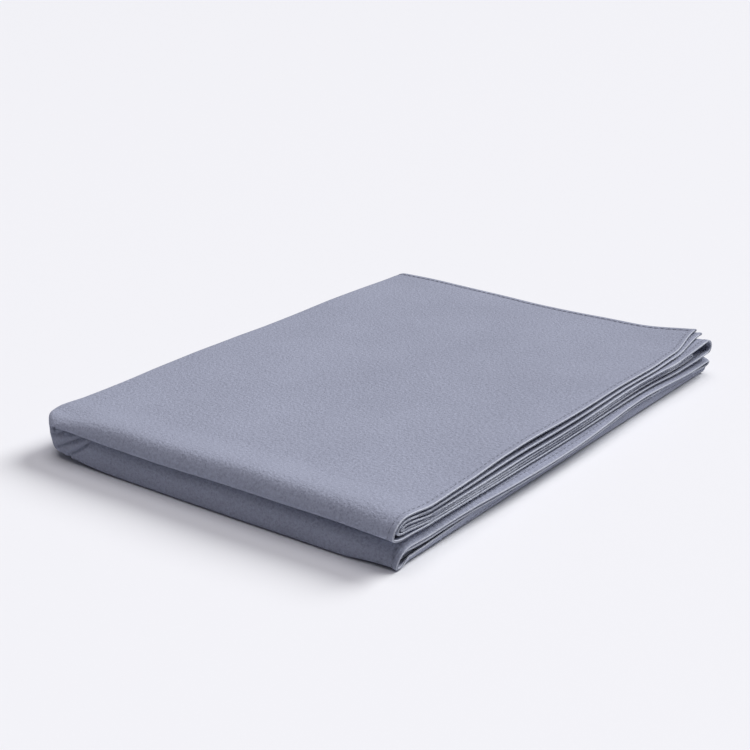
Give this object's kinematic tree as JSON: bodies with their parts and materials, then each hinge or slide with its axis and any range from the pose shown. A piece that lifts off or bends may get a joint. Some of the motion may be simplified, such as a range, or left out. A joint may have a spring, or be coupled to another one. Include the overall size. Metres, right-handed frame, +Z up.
{
  "type": "folded quick dry towel",
  "caption": "Folded microfibre quick dry towel with hemmed edges, lying flat, whose upper half opens out about the fold across its middle.",
  "frame": {"origin": "middle of the underside of the folded towel's bounding box", "axes": "+X from the fold across the middle to the open, hemmed ends, +Y along the folded towel to the sheet's free long edges, +Z up"},
  "size_m": [0.182, 0.254, 0.02],
  "materials": {
    "cloth": "matte grey-lavender suede microfibre",
    "hem": "matte turned hem of the same cloth"
  },
  "bodies": {
    "lower_half": {"lower_cloth": "cloth", "lower_end_hem": "hem", "lower_outer_side_hem": "hem", "lower_inner_side_hem": "hem", "fold_cloth": "cloth", "fold_outer_side_hem": "hem", "fold_inner_side_hem": "hem"},
    "upper_half": {"upper_cloth": "cloth", "upper_end_hem": "hem", "upper_outer_side_hem": "hem", "upper_inner_side_hem": "hem"}
  },
  "joints": [
    {"name": "halves_unfold", "type": "hinge", "parent": "lower_half", "child": "upper_half", "pos_m": [-0.088, 0, 0.01], "axis": [0, -1, 0], "range_deg": [0, 179], "deforming": ["fold_cloth", "fold_outer_side_hem", "fold_inner_side_hem"]}
  ]
}
